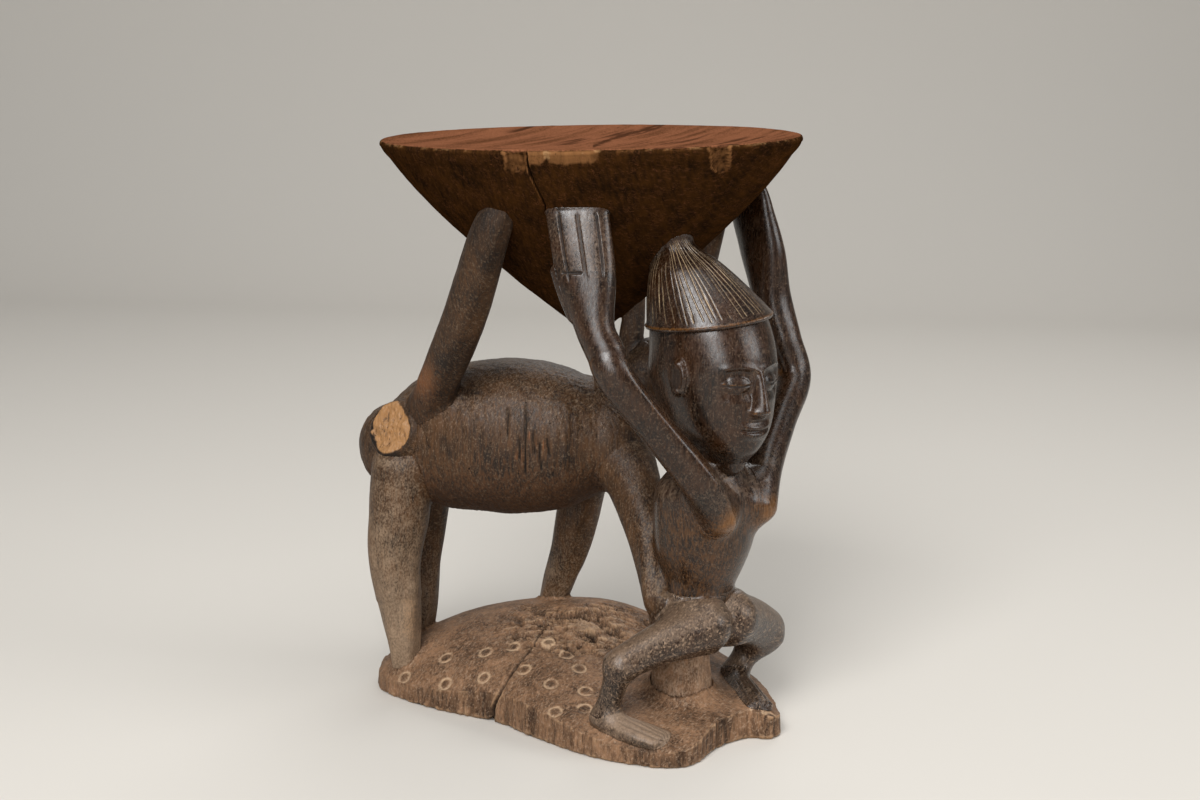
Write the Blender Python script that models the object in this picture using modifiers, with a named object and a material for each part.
"""Carved caryatid stool: a squatting figure and a standing animal carry a bowl seat.

The real stool is cut from one block. Here the block is parted where the carving turns from one form
to the next, and each form is its own solid, seated on its neighbours with a narrow parting gap.
Metres, +Z up. The floor is z = 0, the seat's axis is x = y = 0 and the animal looks along +X.
"""
import math

import bpy
from mathutils import Matrix, Vector

# Parting
PART_GAP = 0.0003        # clear space between two members that seat on each other
EMBED = 0.010            # how far a limb runs on into the member that it is cut back from

# Bowl seat
SEAT_RADIUS = 0.163
SEAT_TILT = -1.9         # degrees about Y, the figure's side is the higher one
BOWL_DEPTH = 0.158       # rim to the point of the cone
BOWL_SWELL = 1.29        # 1 is a straight cone, more is rounder
DISH_DEPTH = 0.006       # hollow of the sitting face
RIM_HEIGHT = 0.009       # upright band under the rim
BACK_CLEARANCE = 0.0215  # from the animal's back up to the bowl's point

# Domed base
BASE_EDGE = 0.018        # thickness that the dome stands on
BASE_RISE = 0.050        # dome above the edge
BASE_CREST = (0.000, 0.040)
BASE_FRONT_FALL = 0.60   # share of the dome that is cut away under the figure
BASE_FOOT_ROUND = 0.003  # rounding of the lower edge
# Plan points of the outline, each with the height of the side wall there
BASE_OUTLINE = (
    (-0.163, 0.004, 0.011), (-0.136, -0.030, 0.012), (-0.106, -0.053, 0.016), (-0.066, -0.076, 0.022),
    (-0.034, -0.110, 0.023), (0.005, -0.146, 0.016), (0.047, -0.167, 0.011), (0.081, -0.167, 0.013),
    (0.103, -0.130, 0.021), (0.128, -0.102, 0.022), (0.150, -0.099, 0.017), (0.155, -0.068, 0.014),
    (0.144, -0.004, 0.016), (0.112, 0.062, 0.018), (0.056, 0.101, 0.018), (-0.010, 0.115, 0.018),
    (-0.078, 0.110, 0.017), (-0.134, 0.090, 0.015), (-0.160, 0.052, 0.013),
)

# Animal, in its own directions: along its back, to its right, up
# Places on its body, neck and head are given by their rise above the body's axis
ANIMAL_AT = (-0.060, 0.016)
ANIMAL_HEADING = -11.0
BODY_AXIS_HEIGHT = 0.210
BODY_HALF_HEIGHT = 0.0615
BODY_HALF_WIDTH = 0.056
BODY_RUMP = -0.109       # where the rump ends, along the back
BODY_CHEST = 0.100       # where the chest ends
RUMP_DROP = 0.014        # how much the rump hangs below the axis
RUMP_HALF = 0.036
CHEST_HALF = 0.038
STUMP_AT = (-0.079, 0.024, 0.002)
STUMP_FACING = (-0.42, 0.84, 0.30)
STUMP_RADIUS = 0.0205
STUMP_REACH = 0.0195     # from its middle inside the rump out to the broken face
HIND_RIGHT_RADIUS = 0.0245
HIND_LEFT_RADIUS = 0.0205
HIND_ANKLE_RADIUS = 0.0102
FORE_RIGHT_RADIUS = 0.0220
FORE_LEFT_RADIUS = 0.0180
FORE_ANKLE_RADIUS = 0.0100
HIND_RIGHT_HIP = (-0.081, 0.029, -0.028)
HIND_RIGHT_HOCK = (-0.086, 0.031, 0.112)
HIND_RIGHT_FOOT = (-0.076, 0.031)
HIND_LEFT_HIP = (-0.076, -0.026, -0.032)
HIND_LEFT_HOCK = (-0.081, -0.029, 0.104)
HIND_LEFT_FOOT = (-0.083, -0.029)
FORE_LEFT_SHOULDER = (0.056, -0.032, -0.038)
FORE_LEFT_KNEE = (0.042, -0.042, 0.110)
FORE_LEFT_FOOT = (0.024, -0.047)
FORE_RIGHT_SHOULDER = (0.101, 0.020, -0.018)
FORE_RIGHT_KNEE = (0.124, 0.049, 0.144)
FORE_RIGHT_PAW = (0.135, 0.077, 0.106)
PAW_RADIUS = 0.0110
TAIL_ROOT = (-0.0570, 0.036, 0.031)
TAIL_RADIUS = 0.0172
TAIL_TOP_RADIUS = 0.0172
TAIL_BEARING = -123.0    # compass bearing of its top on the bowl, from +X
TAIL_DROP = 0.046        # its top's depth below the rim
TAIL_SAG = 0.006         # bow of the tail out of the straight line
NECK_ROOT = (0.078, -0.002, 0.002)
NECK_TOP = (0.106, -0.013, 0.052)
NECK_ROOT_RADIUS = 0.034
NECK_TOP_RADIUS = 0.025
SKULL_AT = (0.118, -0.022, 0.056)
SKULL_HALF_WIDTH = 0.027
SKULL_HALF_HEIGHT = 0.025
SKULL_HEADING = -22.0
MUZZLE_LENGTH = 0.048
MUZZLE_HALF = 0.012
MUZZLE_FALL = 0.014
EAR_HALF_WIDTH = 0.0140
EAR_HALF_THICKNESS = 0.0055
EAR_RIGHT_ROOT = (0.093, -0.006, 0.066)
EAR_LEFT_ROOT = (0.128, -0.044, 0.066)
EAR_RIGHT_BEARING = 20.0
EAR_RIGHT_DROP = 0.130
EAR_LEFT_BEARING = 16.0
EAR_LEFT_DROP = 0.072

# Figure, in its own directions: forward, to its right, up
FIGURE_AT = (0.095, -0.078)
FIGURE_HEADING = -40.0
HEAD_HEADING = -50.0     # the head is turned a little to its right
PELVIS_HEIGHT = 0.089
PELVIS_HALF_HEIGHT = 0.022
PELVIS_HALF_WIDTH = 0.036
PELVIS_HALF_DEPTH = 0.028
PELVIS_BACK = -0.012
WAIST_HALF_WIDTH = 0.027
WAIST_HALF_DEPTH = 0.024
RIB_HALF_WIDTH = 0.040
RIB_HALF_DEPTH = 0.035
RIB_FORWARD = -0.003
CHEST_HEIGHT = 0.182
CHEST_HALF_WIDTH = 0.046
CHEST_HALF_DEPTH = 0.037
CHEST_FORWARD = -0.001
SHOULDER_RISE = 0.026    # top of the trunk above the chest's widest height
BREAST_LENGTH = 0.030    # from the seat inside the chest to the tip
BREAST_PROUD = 0.0055    # of the tip before the chest
BREAST_SPREAD = 0.027
BREAST_RADIUS = 0.019
BREAST_TIP_RADIUS = 0.0060
BREAST_SAG = 0.005       # how far the tip hangs below the chest's widest height
THROAT_RADIUS = 0.021
HEAD_RISE = 0.094        # widest part of the head above the chest's widest height
HEAD_HALF_WIDTH = 0.0455
HEAD_HALF_DEPTH = 0.0505
CHIN_RISE = 0.034        # from the same height
CHIN_FORWARD = 0.024
CHIN_HALF = 0.011
NOSE_ROOT_RISE = 0.012   # above the widest part of the head
NOSE_LENGTH = 0.030
NOSE_PROUD = 0.011
NOSE_HALF_WIDTH = 0.0075
FIGURE_EAR_RISE = 0.006  # above the widest part of the head
FIGURE_EAR_FORWARD = 0.012
FIGURE_EAR_HALF = 0.0115
FIGURE_EAR_PROUD = 0.005
BRIM_RISE = 0.1365       # above the chest's widest height
BRIM_RADIUS = 0.0485
BRIM_EDGE = 0.004
CROWN_RISE = 0.012       # of the head's crown inside the cap
CAP_LEAN = 7.0           # degrees by which the brim's plane leans
CAP_LEAN_BEARING = 180.0
CAP_TOP_RADIUS = 0.0125
CAP_BEARING = -49.0
CAP_DROP = 0.079
HAND_HALF_WIDTH = 0.0225
HAND_HALF_THICKNESS = 0.0105
HAND_RIGHT_BEARING = -94.5
HAND_LEFT_BEARING = 15.0
HAND_LEFT_FACING = 38.0  # the left hand is turned a little towards the head
HAND_DROP = 0.051
WRIST_RADIUS = 0.0145
WRIST_RIGHT = (-0.028, 0.1045, 0.322)
WRIST_LEFT = (-0.025, -0.1095, 0.324)
THUMB_RADIUS = 0.0055
THUMB_LENGTH = 0.034
THUMB_SPREAD = 0.25      # how much it leans out of the hand's line
ARM_RADIUS = 0.0140
ARM_ROOT_FORWARD = 0.006
ARM_ROOT_SPREAD = 0.017
ELBOW_RIGHT = (-0.009, 0.1020, 0.286)
ELBOW_LEFT = (-0.005, -0.1140, 0.262)
# The shoulders are given by their rise above the chest's widest height
SHOULDER_RIGHT = (0.026, 0.042, 0.021)
SHOULDER_LEFT = (0.018, -0.046, 0.022)
HIP_FORWARD = 0.014
HIP_SPREAD = 0.017
THIGH_HIP_RADIUS = 0.0200
KNEE_RIGHT_RADIUS = 0.0125
KNEE_RIGHT = (-0.009, 0.089, 0.070)
KNEE_LEFT = (-0.002, -0.079, 0.063)
KNEE_LEFT_RADIUS = 0.0185
ANKLE_RADIUS = 0.0080
HEEL_RIGHT = (-0.022, 0.092)
TOES_RIGHT = (0.024, 0.083)
HEEL_LEFT = (-0.012, -0.056)
TOES_LEFT = (0.041, -0.018)
FOOT_HALF_WIDTH = 0.0115
FOOT_HEIGHT = 0.010
BLOCK_HALF_WIDTH = 0.022
BLOCK_HALF_DEPTH = 0.019
BLOCK_RIGHT = 0.012

# Facets
SEAT_SIDES = 48
BASE_SIDES = 57
FORM_SIDES = 18
LIMB_SIDES = 10

# Joints, thickness at the top and thickness at the foot of each leg that stands on the base
STANDING_LEGS = {
    "hind_right": (HIND_RIGHT_HIP, HIND_RIGHT_HOCK, HIND_RIGHT_FOOT, HIND_RIGHT_RADIUS, HIND_ANKLE_RADIUS),
    "hind_left": (HIND_LEFT_HIP, HIND_LEFT_HOCK, HIND_LEFT_FOOT, HIND_LEFT_RADIUS, HIND_ANKLE_RADIUS),
    "front_left": (FORE_LEFT_SHOULDER, FORE_LEFT_KNEE, FORE_LEFT_FOOT, FORE_LEFT_RADIUS, FORE_ANKLE_RADIUS),
}

# What differs between the figure's two sides
FIGURE_SIDES = {
    "right": {
        "sign": 1.0, "shoulder": SHOULDER_RIGHT, "elbow": ELBOW_RIGHT, "wrist": WRIST_RIGHT,
        "bearing": HAND_RIGHT_BEARING,
        "facing": HAND_RIGHT_BEARING, "knee": KNEE_RIGHT, "knee_radius": KNEE_RIGHT_RADIUS,
        "heel": HEEL_RIGHT, "toes": TOES_RIGHT,
    },
    "left": {
        "sign": -1.0, "shoulder": SHOULDER_LEFT, "elbow": ELBOW_LEFT, "wrist": WRIST_LEFT,
        "bearing": HAND_LEFT_BEARING,
        "facing": HAND_LEFT_FACING, "knee": KNEE_LEFT, "knee_radius": KNEE_LEFT_RADIUS,
        "heel": HEEL_LEFT, "toes": TOES_LEFT,
    },
}

UP = Vector((0.0, 0.0, 1.0))
BACK_HEIGHT = BODY_AXIS_HEIGHT + BODY_HALF_HEIGHT
SHOULDER_HEIGHT = CHEST_HEIGHT + SHOULDER_RISE
HEAD_HEIGHT = CHEST_HEIGHT + HEAD_RISE
CHIN_HEIGHT = CHEST_HEIGHT + CHIN_RISE
BRIM_HEIGHT = CHEST_HEIGHT + BRIM_RISE
SEAT_HEIGHT = BACK_HEIGHT + BACK_CLEARANCE + BOWL_DEPTH
SEAT_FRAME = Matrix.Translation((0, 0, SEAT_HEIGHT)) @ Matrix.Rotation(math.radians(SEAT_TILT), 4, "Y")


def compass(degrees):
    """Level unit vector on a bearing measured from +X."""
    return Vector((math.cos(math.radians(degrees)), math.sin(math.radians(degrees)), 0.0))


def local_point(at, heading, coordinates):
    """World point from forward, right and height in the frame of the figure or the animal."""
    forward, right, height = coordinates
    ahead = compass(heading)
    return Vector((at[0], at[1], height)) + ahead * forward + ahead.cross(UP) * right


def animal_point(along, right, height):
    return local_point(ANIMAL_AT, ANIMAL_HEADING, (along, right, height))


def body_point(along, right, rise):
    return animal_point(along, right, BODY_AXIS_HEIGHT + rise)


def figure_point(forward, right, height):
    return local_point(FIGURE_AT, FIGURE_HEADING, (forward, right, height))


def bowl_radius(drop):
    """Radius of the bowl's underside at a depth below the rim plane."""
    return SEAT_RADIUS * (1.0 - (drop / BOWL_DEPTH) ** BOWL_SWELL)


def bowl_point(bearing, drop):
    """Point on the bowl's underside."""
    level = compass(bearing) * bowl_radius(drop)
    return SEAT_FRAME @ (level - UP * drop)


def smooth_step(value):
    t = min(max(value, 0.0), 1.0)
    return t * t * (3.0 - 2.0 * t)


def catmull(points, t, closed=False):
    """Smooth curve through the points; t counts points."""
    count = len(points)
    index = int(math.floor(t))
    if not closed:
        index = min(index, count - 2)
    u = t - index

    def take(k):
        return points[k % count] if closed else points[min(max(k, 0), count - 1)]

    a, b, c, d = (take(index + k) for k in (-1, 0, 1, 2))
    curved = []
    for p0, p1, p2, p3 in zip(a, b, c, d):
        slope_in = 0.5 * (p2 - p0)
        slope_out = 0.5 * (p3 - p1)
        bend = 2 * p1 - 2 * p2 + slope_in + slope_out
        lean = -3 * p1 + 3 * p2 - 2 * slope_in - slope_out
        curved.append(((bend * u + lean) * u + slope_in) * u + p1)
    return curved


def base_rim(angle):
    """Distance from the dome's crest to the base outline in one direction, and the wall's height there."""
    cast = Vector((math.cos(angle), math.sin(angle)))
    crest = Vector(BASE_CREST)
    best = (0.0, BASE_EDGE)
    corners = base_corners()
    for start, end in zip(corners, corners[1:] + corners[:1]):
        side = end - start
        area = cast.x * side.y - cast.y * side.x
        if abs(area) < 1e-12:
            continue
        gap = start.xy - crest
        share = (gap.x * cast.y - gap.y * cast.x) / area
        reach = (gap.x * side.y - gap.y * side.x) / area
        if -1e-9 <= share <= 1 + 1e-9:
            best = max(best, (reach, start.z + side.z * share))
    return best


def base_corners():
    """Outline of the base, smoothed, as plan points with the wall's height."""
    count = len(BASE_OUTLINE)
    return [Vector(catmull(BASE_OUTLINE, k * count / BASE_SIDES, closed=True)) for k in range(BASE_SIDES)]


def base_height(x, y, share=None, wall=BASE_EDGE):
    """Top of the domed base; share is 0 at the crest and 1 at the outline, where the wall is that high."""
    offset = Vector((x, y)) - Vector(BASE_CREST)
    if share is None:
        reach, wall = base_rim(math.atan2(offset.y, offset.x))
        share = min(offset.length / reach, 1.0)
    dome = max(1.0 - share * share, 0.0) ** 0.75
    front = compass(FIGURE_HEADING).xy.dot(offset)
    reach = (Vector(FIGURE_AT) - Vector(BASE_CREST)).length
    fall = BASE_FRONT_FALL * smooth_step(front / reach)
    edge = BASE_EDGE + (wall - BASE_EDGE) * share * share
    return edge + BASE_RISE * dome * (1.0 - fall)


def make_collection(name):
    made = bpy.data.collections.new(name)
    bpy.context.scene.collection.children.link(made)
    return made


def wood(name, colour, roughness):
    """Principled wood; the colour is linear RGB."""
    material = bpy.data.materials.new(name)
    material.use_nodes = True
    shader = material.node_tree.nodes["Principled BSDF"]
    shader.inputs["Base Color"].default_value = (*colour, 1.0)
    shader.inputs["Roughness"].default_value = roughness
    shader.inputs["Metallic"].default_value = 0.0
    return material


FINISHES = {
    "seat": ((0.130, 0.055, 0.028), 0.45),
    "base": ((0.120, 0.078, 0.052), 0.65),
    "animal": ((0.062, 0.046, 0.035), 0.55),
    "figure": ((0.035, 0.026, 0.021), 0.38),
}


def new_piece(name, mesh, finish):
    """Link a mesh as a named piece with its own wood."""
    piece = bpy.data.objects.new(name, mesh)
    colour, roughness = FINISHES[finish]
    mesh.materials.append(wood(name + " wood", colour, roughness))
    mesh.shade_smooth()
    parts.objects.link(piece)
    piece.parent = root
    return piece


def skin(rings):
    """Closed mesh over rings of points, first and last ring capped."""
    sides = len(rings[0])
    points = [p for ring in rings for p in ring]
    faces = []
    for k in range(len(rings) - 1):
        low, high = k * sides, (k + 1) * sides
        for i in range(sides):
            j = (i + 1) % sides
            faces.append((low + i, low + j, high + j, high + i))
    faces.append(tuple(reversed(range(sides))))
    last = (len(rings) - 1) * sides
    faces.append(tuple(range(last, last + sides)))
    mesh = bpy.data.meshes.new("skin")
    mesh.from_pydata(points, [], faces)
    mesh.update()
    return mesh


def round_end(stations, at_start):
    """Close one end of a loft with a rounded nose."""
    centre, side, up = stations[0] if at_start else stations[-1]
    inner = stations[1][0] if at_start else stations[-2][0]
    outward = (centre - inner).normalized()
    reach = min(side, up)
    nose = []
    for degrees in (35, 62, 82):
        turn = math.radians(degrees)
        nose.append((centre + outward * reach * math.sin(turn), side * math.cos(turn), up * math.cos(turn)))
    return nose[::-1] + stations if at_start else stations + nose


def string_out(stations, steps):
    """Stations read off a smooth curve through the given ones."""
    rows = [(*centre, side, up) for centre, side, up in stations]
    fine = [catmull(rows, k / steps) for k in range((len(rows) - 1) * steps + 1)]
    return [(Vector(row[:3]), row[3], row[4]) for row in fine]


def section_rings(strung, across, sides, axis=None, power=2.0):
    """Oval rings along a spine; they stand square to the axis where one is given, or else to the spine."""
    rings = []
    for k, (centre, side, up) in enumerate(strung):
        before = strung[max(k - 1, 0)][0]
        after = strung[min(k + 1, len(strung) - 1)][0]
        ahead = axis or (after - before).normalized()
        first = (across - ahead * across.dot(ahead)).normalized()
        second = ahead.cross(first)
        ring = []
        for i in range(sides):
            turn = 2 * math.pi * i / sides
            c, s = math.cos(turn), math.sin(turn)
            a = math.copysign(abs(c) ** (2 / power), c) * side
            b = math.copysign(abs(s) ** (2 / power), s) * up
            ring.append(centre + first * a + second * b)
        rings.append(ring)
    return rings


def loft_mesh(stations, across, sides, steps, start_round=False, end_round=False, axis=None, power=2.0):
    """Mesh skinned over ovals strung along a spine.

    A station is (centre, half size along 'across', half size square to it). The power is 2 for an
    ellipse and more for a squarer section.
    """
    strung = string_out(stations, steps)
    if start_round:
        strung = round_end(strung, True)
    if end_round:
        strung = round_end(strung, False)
    return skin(section_rings(strung, across, sides, axis, power))


def limb_chain(names, finish, stations, partings, across, steps=2, power=2.3):
    """One smooth limb parted square across at some of its stations."""
    strung = string_out(stations, steps)
    rings = section_rings(strung, across, LIMB_SIDES + 2, power=power)
    bounds = [0] + [steps * index for index in partings] + [len(rings) - 1]
    pieces = []
    for name, first, last in zip(names, bounds, bounds[1:]):
        run = [list(ring) for ring in rings[first:last + 1]]
        for end, index, inner in ((0, first, first + 1), (-1, last, last - 1)):
            if 0 < index < len(rings) - 1:
                ahead = (strung[index + 1][0] - strung[index - 1][0]).normalized()
                drawn_back = ahead * math.copysign(0.75 * PART_GAP, inner - index)
                run[end] = [point + drawn_back for point in run[end]]
        pieces.append(new_piece(name, skin(run), finish))
    return pieces


def round_limb(name, finish, points, radii, start_round=False, end_round=False, sides=LIMB_SIDES):
    """Round limb of changing thickness along a few points."""
    stations = [(point, radius, radius) for point, radius in zip(points, radii)]
    across = Vector((1.0, 0.35, 0.15))
    mesh = loft_mesh(stations, across, sides, 2, start_round, end_round)
    return new_piece(name, mesh, finish)


def evaluated_mesh(piece):
    """Mesh of a piece with its modifiers, in world space."""
    bpy.context.view_layer.update()
    graph = bpy.context.evaluated_depsgraph_get()
    mesh = bpy.data.meshes.new_from_object(piece.evaluated_get(graph), depsgraph=graph)
    mesh.transform(piece.matrix_world)
    return mesh


def add_boolean(piece, other, operation):
    cut = piece.modifiers.new(operation.lower() + " " + other.name, "BOOLEAN")
    cut.operation = operation
    cut.solver = "EXACT"
    cut.object = other


def hide_tool(tool):
    cutters.objects.link(tool)
    tool.display_type = "WIRE"
    tool.hide_render = True
    tool.parent = root


def join(piece, mesh, name):
    """Carve a further form onto a piece."""
    tool = bpy.data.objects.new(name, mesh)
    hide_tool(tool)
    add_boolean(piece, tool, "UNION")


def world_box(mesh):
    spans = []
    for axis in range(3):
        values = [v.co[axis] for v in mesh.vertices]
        spans.append((min(values), max(values)))
    return spans


def boxes_meet(a, b):
    return all(p[0] <= q[1] + PART_GAP and q[0] <= p[1] + PART_GAP for p, q in zip(a, b))


def seat(piece, placed):
    """Cut a piece back from every member already in place, and keep its whole form, grown, as a tool."""
    mesh = evaluated_mesh(piece)
    box = world_box(mesh)
    for tool, tool_box in placed:
        if boxes_meet(box, tool_box):
            add_boolean(piece, tool, "DIFFERENCE")
    tool = bpy.data.objects.new(piece.name + " clearance", mesh)
    hide_tool(tool)
    grow = tool.modifiers.new("grow", "DISPLACE")
    grow.strength = PART_GAP
    grow.mid_level = 0.0
    placed.append((tool, box))


def bowl_seat():
    """Turned bowl: a dished sitting face, an upright rim and a swelling cone."""
    profile = [Vector((0.0, 0.0, -DISH_DEPTH))]
    for share in (0.35, 0.65, 0.88, 0.97):
        profile.append(Vector((SEAT_RADIUS * share, 0.0, -DISH_DEPTH * (1.0 - share ** 3))))
    rim_share = bowl_radius(RIM_HEIGHT) / SEAT_RADIUS
    profile.append(Vector((SEAT_RADIUS, 0.0, -0.25 * RIM_HEIGHT)))
    profile.append(Vector((SEAT_RADIUS * 0.5 * (1.0 + rim_share) + 0.1 * RIM_HEIGHT, 0.0, -RIM_HEIGHT)))
    first = 1.6 * RIM_HEIGHT
    rows = 11
    for k in range(rows):
        drop = first + (0.985 * BOWL_DEPTH - first) * k / (rows - 1)
        profile.append(Vector((bowl_radius(drop), 0.0, -drop)))
    profile.append(Vector((0.0, 0.0, -BOWL_DEPTH)))
    mesh = bpy.data.meshes.new("bowl profile")
    mesh.from_pydata(profile, [(k, k + 1) for k in range(len(profile) - 1)], [])
    bowl = new_piece("seat_bowl", mesh, "seat")
    bowl.matrix_world = SEAT_FRAME
    screw = bowl.modifiers.new("turn", "SCREW")
    screw.steps = SEAT_SIDES
    screw.render_steps = SEAT_SIDES
    screw.use_merge_vertices = True
    screw.merge_threshold = 0.00005
    return bowl


def base_plinth():
    """Domed slab: rings of the outline drawn in to the crest, over a flat underside."""
    crest = Vector(BASE_CREST)
    corners = base_corners()

    def ring(share, height=None):
        points = []
        for corner in corners:
            x, y = crest + (corner.xy - crest) * share
            points.append(Vector((x, y, base_height(x, y, share, corner.z) if height is None else height)))
        return points

    sole = []
    for corner in corners:
        drawn_in = corner.xy + (crest - corner.xy).normalized() * BASE_FOOT_ROUND
        sole.append(Vector((*drawn_in, 0.0)))
    side_wall = [Vector((corner.x, corner.y, 0.75 * corner.z)) for corner in corners]
    rings = [sole, ring(1.0, BASE_FOOT_ROUND), side_wall]
    rings += [ring(share) for share in (0.985, 0.95, 0.89, 0.80, 0.68, 0.54, 0.38, 0.22, 0.08)]
    return new_piece("base_plinth", skin(rings), "base")


def animal_body():
    """Barrel with a lower, narrower rump."""
    mid = 0.5 * (BODY_RUMP + BODY_CHEST)
    length = BODY_CHEST - BODY_RUMP
    width = BODY_HALF_WIDTH
    ratio = width / BODY_HALF_HEIGHT
    rump = RUMP_HALF
    shape = (
        (BODY_RUMP + 0.5 * rump, -RUMP_DROP, rump * ratio, rump),
        (BODY_RUMP + 0.24 * length, -0.5 * RUMP_DROP, 0.85 * width, 0.88 * BODY_HALF_HEIGHT),
        (mid - 0.07 * length, -0.1 * RUMP_DROP, width, 0.98 * BODY_HALF_HEIGHT),
        (mid + 0.08 * length, 0.0, width, BODY_HALF_HEIGHT),
        (mid + 0.27 * length, 0.0, 0.90 * width, 0.88 * BODY_HALF_HEIGHT),
        (BODY_CHEST - 0.6 * CHEST_HALF, 0.0, CHEST_HALF * ratio, CHEST_HALF),
    )
    stations = [(body_point(along, 0.0, rise), side, up) for along, rise, side, up in shape]
    across = compass(ANIMAL_HEADING).cross(UP)
    mesh = loft_mesh(stations, across, FORM_SIDES, 3, True, True, power=2.2)
    return new_piece("animal_body", mesh, "animal")


def animal_stump():
    """Low stump of a broken-off part on the rump, with a flat broken face."""
    outward = animal_point(*STUMP_FACING) - animal_point(0.0, 0.0, 0.0)
    low = body_point(*STUMP_AT)
    face = low + outward.normalized() * STUMP_REACH
    stations = [
        (low, 1.15 * STUMP_RADIUS, 1.15 * STUMP_RADIUS),
        (low.lerp(face, 0.7), 1.06 * STUMP_RADIUS, 1.06 * STUMP_RADIUS),
        (face, 0.9 * STUMP_RADIUS, 0.9 * STUMP_RADIUS),
    ]
    return new_piece("animal_rump_stump", loft_mesh(stations, UP, 14, 1), "animal")


def animal_leg(name, hip, knee, foot, top, bottom):
    """Leg from inside the body down into the base."""
    x, y = animal_point(*foot, 0.0).xy
    sole = base_height(x, y) - EMBED
    points = [body_point(*hip), animal_point(*knee), animal_point(*foot, sole)]
    upper = points[0].lerp(points[1], 0.5)
    lower = points[1].lerp(points[2], 0.55)
    thickness = [top, 0.98 * top, 0.30 * bottom + 0.70 * top, 0.62 * bottom + 0.38 * top, bottom]
    route = [points[0], upper, points[1], lower, points[2]]
    return round_limb(name, "animal", route, thickness, start_round=True)


def animal_fore_right():
    """Foreleg that sets its paw on the figure's hip."""
    route = [body_point(*FORE_RIGHT_SHOULDER), animal_point(*FORE_RIGHT_KNEE), animal_point(*FORE_RIGHT_PAW)]
    radii = [FORE_RIGHT_RADIUS, 0.5 * (FORE_RIGHT_RADIUS + PAW_RADIUS), PAW_RADIUS]
    return round_limb("animal_leg_front_right", "animal", route, radii, True, True)


def animal_tail():
    """Tail raised from the rump as a strut under the bowl."""
    root_point = body_point(*TAIL_ROOT)
    top = bowl_point(TAIL_BEARING, TAIL_DROP)
    way = (top - root_point).normalized()
    bow = way.cross(compass(TAIL_BEARING)).normalized() * TAIL_SAG
    middle = 0.5 * (TAIL_RADIUS + TAIL_TOP_RADIUS)
    route = [root_point - way * EMBED, root_point.lerp(top, 0.5) + bow, top + way * 1.8 * EMBED]
    return round_limb("animal_tail", "animal", route, [0.9 * TAIL_RADIUS, middle, TAIL_TOP_RADIUS], True)


def animal_neck():
    route = [body_point(*NECK_ROOT), body_point(*NECK_TOP)]
    route.insert(1, route[0].lerp(route[1], 0.5))
    radii = [NECK_ROOT_RADIUS, 0.45 * NECK_ROOT_RADIUS + 0.55 * NECK_TOP_RADIUS, NECK_TOP_RADIUS]
    return round_limb("animal_neck", "animal", route, radii, True, True, sides=16)


def animal_head():
    """Rounded skull drawn out into a short muzzle."""
    ahead = compass(SKULL_HEADING)
    skull = body_point(*SKULL_AT)
    muzzle = skull + ahead * MUZZLE_LENGTH - UP * MUZZLE_FALL
    stations = [
        (skull - ahead * 0.55 * SKULL_HALF_WIDTH, 0.86 * SKULL_HALF_WIDTH, 0.86 * SKULL_HALF_HEIGHT),
        (skull, SKULL_HALF_WIDTH, SKULL_HALF_HEIGHT),
        (skull.lerp(muzzle, 0.45), 1.55 * MUZZLE_HALF, 1.5 * MUZZLE_HALF),
        (muzzle, MUZZLE_HALF, MUZZLE_HALF),
    ]
    mesh = loft_mesh(stations, ahead.cross(UP), 16, 3, True, True)
    return new_piece("animal_head", mesh, "animal")


def animal_ear(name, ear_root, bearing, drop):
    """Leaf-shaped ear from the skull up to the bowl."""
    low = body_point(*ear_root)
    top = bowl_point(bearing, drop)
    way = (top - low).normalized()
    stations = [
        (low - way * EMBED, 0.7 * EAR_HALF_WIDTH, EAR_HALF_THICKNESS),
        (low.lerp(top, 0.45), EAR_HALF_WIDTH, EAR_HALF_THICKNESS),
        (top + way * EMBED, 0.55 * EAR_HALF_WIDTH, 0.8 * EAR_HALF_THICKNESS),
    ]
    across = compass(FIGURE_HEADING).cross(UP)
    mesh = loft_mesh(stations, across, LIMB_SIDES, 3, True)
    return new_piece(name, mesh, "animal")


def head_point(forward, right, height):
    return local_point(FIGURE_AT, HEAD_HEADING, (forward, right, height))


def level_stations(rows, place=figure_point):
    """Stations of an upright form from forward, height, half width and half depth."""
    return [(place(forward, 0.0, height), side, depth) for forward, height, side, depth in rows]


def figure_right():
    return compass(FIGURE_HEADING).cross(UP)


def head_right():
    return compass(HEAD_HEADING).cross(UP)


def figure_pelvis():
    low = PELVIS_HEIGHT - PELVIS_HALF_HEIGHT
    high = PELVIS_HEIGHT + PELVIS_HALF_HEIGHT
    rows = (
        (PELVIS_BACK, low, 0.60 * PELVIS_HALF_WIDTH, 0.60 * PELVIS_HALF_DEPTH),
        (PELVIS_BACK, low + 0.25 * PELVIS_HALF_HEIGHT, 0.88 * PELVIS_HALF_WIDTH, 0.88 * PELVIS_HALF_DEPTH),
        (PELVIS_BACK, PELVIS_HEIGHT, PELVIS_HALF_WIDTH, PELVIS_HALF_DEPTH),
        (PELVIS_BACK, high - 0.30 * PELVIS_HALF_HEIGHT, 0.92 * PELVIS_HALF_WIDTH, 0.92 * PELVIS_HALF_DEPTH),
        (PELVIS_BACK, high, 0.70 * PELVIS_HALF_WIDTH, 0.70 * PELVIS_HALF_DEPTH),
    )
    mesh = loft_mesh(level_stations(rows), figure_right(), FORM_SIDES, 2, axis=UP, power=2.4)
    return new_piece("figure_pelvis", mesh, "figure")


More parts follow.
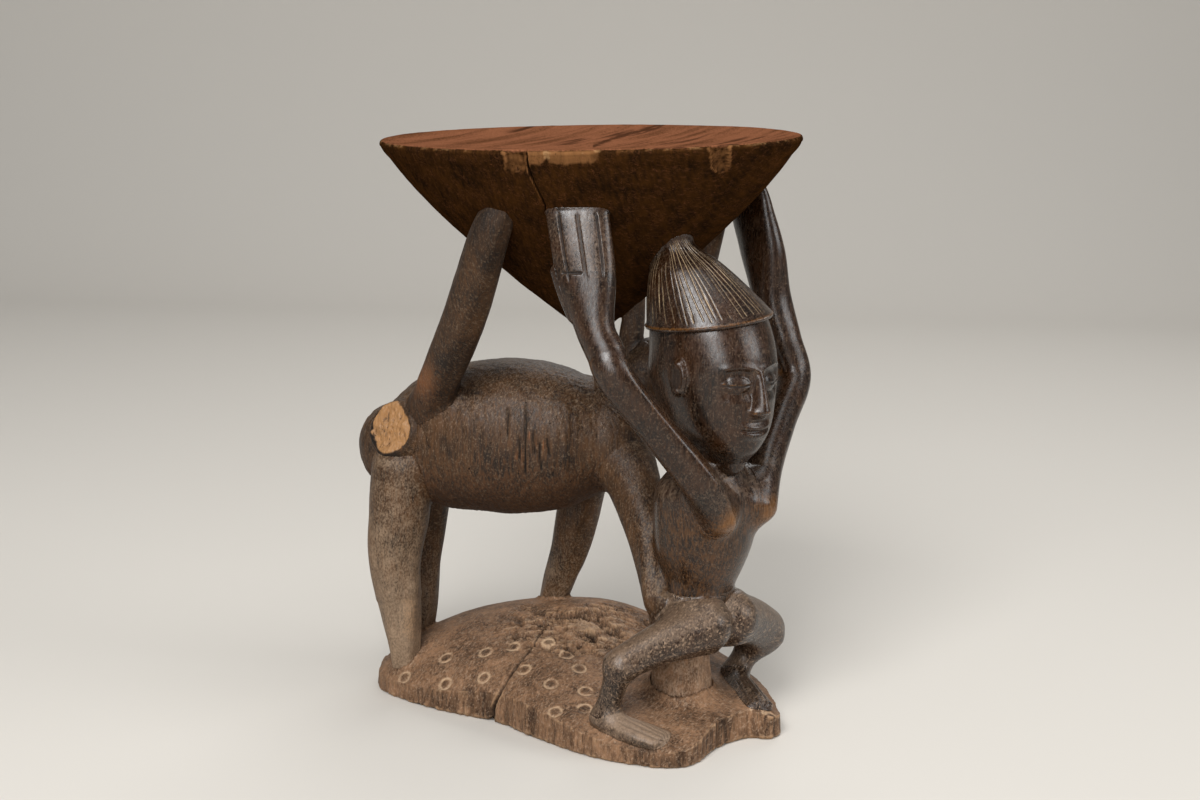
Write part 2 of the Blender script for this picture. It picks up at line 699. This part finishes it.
def figure_torso():
    """Trunk that widens from the waist to the shoulders, with two small pointed breasts."""
    waist = PELVIS_HEIGHT + PELVIS_HALF_HEIGHT
    middle = 0.5 * (waist + CHEST_HEIGHT)
    collar = 0.4 * CHEST_HEIGHT + 0.6 * SHOULDER_HEIGHT
    rows = (
        (PELVIS_BACK, waist - 1.5 * EMBED, WAIST_HALF_WIDTH, WAIST_HALF_DEPTH),
        (0.5 * PELVIS_BACK, waist, WAIST_HALF_WIDTH, WAIST_HALF_DEPTH),
        (RIB_FORWARD, middle, RIB_HALF_WIDTH, RIB_HALF_DEPTH),
        (CHEST_FORWARD, CHEST_HEIGHT, CHEST_HALF_WIDTH, CHEST_HALF_DEPTH),
        (CHEST_FORWARD, collar, 0.93 * CHEST_HALF_WIDTH, 0.86 * CHEST_HALF_DEPTH),
        (0.6 * CHEST_FORWARD, SHOULDER_HEIGHT, 0.55 * CHEST_HALF_WIDTH, 0.6 * CHEST_HALF_DEPTH),
    )
    mesh = loft_mesh(level_stations(rows), figure_right(), FORM_SIDES, 3, axis=UP)
    torso = new_piece("figure_torso", mesh, "figure")
    front = CHEST_FORWARD + CHEST_HALF_DEPTH + BREAST_PROUD
    for side in (1.0, -1.0):
        tip = figure_point(front, side * BREAST_SPREAD, CHEST_HEIGHT - BREAST_SAG)
        inner = figure_point(front - BREAST_LENGTH, 0.85 * side * BREAST_SPREAD, CHEST_HEIGHT)
        stations = [
            (inner, BREAST_RADIUS, BREAST_RADIUS),
            (inner.lerp(tip, 0.6), 0.80 * BREAST_RADIUS, 0.80 * BREAST_RADIUS),
            (tip, BREAST_TIP_RADIUS, BREAST_TIP_RADIUS),
        ]
        breast = loft_mesh(stations, UP, LIMB_SIDES, 2, False, True)
        join(torso, breast, "breast right" if side > 0 else "breast left")
    return torso


def figure_neck():
    route = [figure_point(CHEST_FORWARD, 0.0, SHOULDER_HEIGHT - EMBED),
             figure_point(0.0, 0.0, 0.5 * (SHOULDER_HEIGHT + HEAD_HEIGHT))]
    return round_limb("figure_neck", "figure", route, [1.1 * THROAT_RADIUS, THROAT_RADIUS], sides=16)


def figure_cap():
    """Ribbed cap: an oblique cone from the brim up to the bowl."""
    brim = head_point(-0.1 * BRIM_RADIUS, 0.0, BRIM_HEIGHT)
    top = bowl_point(CAP_BEARING, CAP_DROP)
    lean = math.radians(CAP_LEAN)
    axis = UP * math.cos(lean) + compass(CAP_LEAN_BEARING) * math.sin(lean)
    lip = brim + axis * BRIM_EDGE
    rise = top - lip

    def oval(centre, radius):
        return centre, radius, radius

    stations = [
        oval(brim, 0.985 * BRIM_RADIUS),
        oval(brim + axis * 0.5 * BRIM_EDGE, BRIM_RADIUS),
        oval(lip, 0.97 * BRIM_RADIUS),
        oval(lip + rise * 0.35, 0.30 * CAP_TOP_RADIUS + 0.70 * BRIM_RADIUS),
        oval(lip + rise * 0.70, 0.62 * CAP_TOP_RADIUS + 0.38 * BRIM_RADIUS),
        oval(top, CAP_TOP_RADIUS),
        oval(top + rise.normalized() * 1.5 * EMBED, CAP_TOP_RADIUS),
    ]
    mesh = loft_mesh(stations, head_right(), 24, 1, axis=axis)
    return new_piece("figure_cap", mesh, "figure")


def figure_head():
    """Egg-shaped head with a straight nose; its crown runs up into the cap and is cut off there."""
    jaw = CHIN_HEIGHT + 0.22 * (HEAD_HEIGHT - CHIN_HEIGHT)
    cheek = 0.5 * (CHIN_HEIGHT + HEAD_HEIGHT)
    rows = (
        (CHIN_FORWARD, CHIN_HEIGHT, CHIN_HALF, CHIN_HALF),
        (0.72 * CHIN_FORWARD, jaw, 0.56 * HEAD_HALF_WIDTH, 0.56 * HEAD_HALF_DEPTH),
        (0.36 * CHIN_FORWARD, cheek, 0.83 * HEAD_HALF_WIDTH, 0.84 * HEAD_HALF_DEPTH),
        (0.05 * CHIN_FORWARD, HEAD_HEIGHT, HEAD_HALF_WIDTH, HEAD_HALF_DEPTH),
        (0.0, 0.5 * (HEAD_HEIGHT + BRIM_HEIGHT), HEAD_HALF_WIDTH, HEAD_HALF_DEPTH),
        (-0.08 * BRIM_RADIUS, BRIM_HEIGHT, 0.95 * HEAD_HALF_WIDTH, 0.92 * HEAD_HALF_DEPTH),
        (-0.10 * BRIM_RADIUS, BRIM_HEIGHT + CROWN_RISE, 0.60 * HEAD_HALF_WIDTH, 0.58 * HEAD_HALF_DEPTH),
    )
    mesh = loft_mesh(level_stations(rows, head_point), head_right(), 20, 3, axis=UP)
    head = new_piece("figure_head", mesh, "figure")
    face = 0.92 * HEAD_HALF_DEPTH
    bridge = head_point(face, 0.0, HEAD_HEIGHT + NOSE_ROOT_RISE)
    tip = head_point(face + 0.5 * NOSE_PROUD, 0.0, HEAD_HEIGHT + NOSE_ROOT_RISE - NOSE_LENGTH)
    stations = [
        (bridge, 0.45 * NOSE_HALF_WIDTH, 0.4 * NOSE_PROUD),
        (bridge.lerp(tip, 0.6), 0.7 * NOSE_HALF_WIDTH, 0.75 * NOSE_PROUD),
        (tip, NOSE_HALF_WIDTH, NOSE_PROUD),
    ]
    join(head, loft_mesh(stations, head_right(), LIMB_SIDES, 2, True, True), "nose")
    return head


def figure_ear(name, side):
    """Small cupped ear standing off the side of the head."""
    reach = HEAD_HALF_WIDTH * math.sqrt(1.0 - (FIGURE_EAR_FORWARD / HEAD_HALF_DEPTH) ** 2)
    middle = head_point(FIGURE_EAR_FORWARD, side * reach, HEAD_HEIGHT + FIGURE_EAR_RISE)
    half = FIGURE_EAR_HALF
    stations = [
        (middle - UP * 0.75 * half, 0.4 * half, FIGURE_EAR_PROUD),
        (middle, 0.6 * half, FIGURE_EAR_PROUD),
        (middle + UP * 0.75 * half, 0.4 * half, FIGURE_EAR_PROUD),
    ]
    mesh = loft_mesh(stations, compass(HEAD_HEADING), LIMB_SIDES, 2, True, True)
    return new_piece(name, mesh, "figure")


def figure_arm(word, side):
    """Raised arm in one sweep, parted square across at the elbow and at the wrist."""
    shoulder = figure_point(*side["shoulder"]) + UP * CHEST_HEIGHT
    elbow, wrist = figure_point(*side["elbow"]), figure_point(*side["wrist"])
    bearing = side["bearing"]
    top = bowl_point(bearing, HAND_DROP)
    way = (top - wrist).normalized()
    palm_thickness = 0.5 * (WRIST_RADIUS + HAND_HALF_THICKNESS)
    root_point = figure_point(ARM_ROOT_FORWARD, side["sign"] * ARM_ROOT_SPREAD, CHEST_HEIGHT)
    stations = [
        (root_point, ARM_RADIUS, ARM_RADIUS),
        (shoulder, 1.1 * ARM_RADIUS, 1.1 * ARM_RADIUS),
        (shoulder.lerp(elbow, 0.5), ARM_RADIUS, ARM_RADIUS),
        (elbow, ARM_RADIUS, ARM_RADIUS),
        (elbow.lerp(wrist, 0.5), ARM_RADIUS, ARM_RADIUS),
        (wrist, WRIST_RADIUS, WRIST_RADIUS),
        (wrist.lerp(top, 0.4), 0.93 * HAND_HALF_WIDTH, palm_thickness),
        (wrist.lerp(top, 0.75), HAND_HALF_WIDTH, HAND_HALF_THICKNESS),
        (top + way * 2.0 * EMBED, HAND_HALF_WIDTH, HAND_HALF_THICKNESS),
    ]
    across = UP.cross(compass(side["facing"]))
    names = ["figure_%s_%s" % (part_word, word) for part_word in ("upper_arm", "forearm", "hand")]
    pieces = limb_chain(names, "figure", stations, (3, 5), across)
    out = across * -side["sign"]
    low = wrist.lerp(top, 0.10) + out * 0.95 * WRIST_RADIUS
    tip = low + (way + out * THUMB_SPREAD).normalized() * THUMB_LENGTH
    thumb = [
        (low, THUMB_RADIUS, THUMB_RADIUS),
        (low.lerp(tip, 0.5), THUMB_RADIUS, THUMB_RADIUS),
        (tip, 0.75 * THUMB_RADIUS, 0.75 * THUMB_RADIUS),
    ]
    join(pieces[2], loft_mesh(thumb, compass(bearing), 8, 2, True, True), names[2] + " thumb")
    return pieces


def figure_thigh(name, side):
    """Thigh spread sideways, with a rounded knee."""
    hip = figure_point(HIP_FORWARD, side["sign"] * HIP_SPREAD, PELVIS_HEIGHT)
    knee_point = figure_point(*side["knee"])
    knee_radius = side["knee_radius"]
    route = [hip, hip.lerp(knee_point, 0.5) + UP * 0.1 * THIGH_HIP_RADIUS, knee_point]
    radii = [THIGH_HIP_RADIUS, 0.5 * (THIGH_HIP_RADIUS + knee_radius), knee_radius]
    return round_limb(name, "figure", route, radii, True, True, sides=14)


def foot_point(plan, lift):
    spot = figure_point(*plan, 0.0)
    return Vector((spot.x, spot.y, base_height(spot.x, spot.y) + lift))


def figure_shin(name, side):
    """Shin from inside the knee to its flat end inside the foot."""
    ankle = foot_point(side["heel"], 0.4 * FOOT_HEIGHT)
    knee_radius = side["knee_radius"]
    route = [figure_point(*side["knee"]), ankle]
    route.insert(1, route[0].lerp(route[1], 0.5))
    radii = [0.85 * knee_radius, 0.5 * (0.8 * knee_radius + ANKLE_RADIUS), ANKLE_RADIUS]
    return round_limb(name, "figure", route, radii)


def figure_foot(name, side):
    """Low foot lying on the base."""
    back = foot_point(side["heel"], 0.25 * FOOT_HEIGHT)
    front = foot_point(side["toes"], 0.15 * FOOT_HEIGHT)
    way = front - back
    across = way.cross(UP).normalized()
    stations = [
        (back, 0.8 * FOOT_HALF_WIDTH, 0.85 * FOOT_HEIGHT),
        (back.lerp(front, 0.5), 0.9 * FOOT_HALF_WIDTH, 0.75 * FOOT_HEIGHT),
        (front, FOOT_HALF_WIDTH, 0.55 * FOOT_HEIGHT),
    ]
    return new_piece(name, loft_mesh(stations, across, LIMB_SIDES, 3, True, True, power=2.4), "figure")


def figure_seat_block():
    """Low block left standing between the base and the figure's seat."""
    spot = figure_point(PELVIS_BACK, BLOCK_RIGHT, 0.0)
    low = base_height(spot.x, spot.y) - EMBED
    rows = [
        (Vector((spot.x, spot.y, low)), 1.15 * BLOCK_HALF_WIDTH, 1.15 * BLOCK_HALF_DEPTH),
        (Vector((spot.x, spot.y, 0.5 * (low + PELVIS_HEIGHT))), BLOCK_HALF_WIDTH, BLOCK_HALF_DEPTH),
        (Vector((spot.x, spot.y, PELVIS_HEIGHT)), 0.8 * BLOCK_HALF_WIDTH, 0.8 * BLOCK_HALF_DEPTH),
    ]
    mesh = loft_mesh(rows, figure_right(), 16, 2, axis=UP, power=2.6)
    return new_piece("figure_seat_block", mesh, "figure")


def build():
    """Carve the members in order: each one is cut back from those before it."""
    placed = []
    seat(bowl_seat(), placed)
    seat(base_plinth(), placed)
    seat(animal_body(), placed)
    for word, leg in STANDING_LEGS.items():
        seat(animal_leg("animal_leg_" + word, *leg), placed)
    seat(animal_tail(), placed)
    seat(animal_stump(), placed)
    seat(animal_neck(), placed)
    seat(animal_head(), placed)
    seat(animal_ear("animal_ear_right", EAR_RIGHT_ROOT, EAR_RIGHT_BEARING, EAR_RIGHT_DROP), placed)
    seat(animal_ear("animal_ear_left", EAR_LEFT_ROOT, EAR_LEFT_BEARING, EAR_LEFT_DROP), placed)
    for word, side in FIGURE_SIDES.items():
        seat(figure_thigh("figure_thigh_" + word, side), placed)
    seat(figure_pelvis(), placed)
    seat(figure_torso(), placed)
    seat(figure_seat_block(), placed)
    seat(figure_cap(), placed)
    seat(figure_head(), placed)
    seat(figure_neck(), placed)
    seat(figure_ear("figure_ear_right", 1.0), placed)
    seat(figure_ear("figure_ear_left", -1.0), placed)
    for word, side in FIGURE_SIDES.items():
        for piece in figure_arm(word, side):
            seat(piece, placed)
        seat(figure_foot("figure_foot_" + word, side), placed)
        seat(figure_shin("figure_shin_" + word, side), placed)
    seat(animal_fore_right(), placed)


for old in list(bpy.data.objects):
    bpy.data.objects.remove(old)
parts = make_collection("carved stool")
cutters = make_collection("cutters")
root = bpy.data.objects.new("stool", None)
parts.objects.link(root)
build()
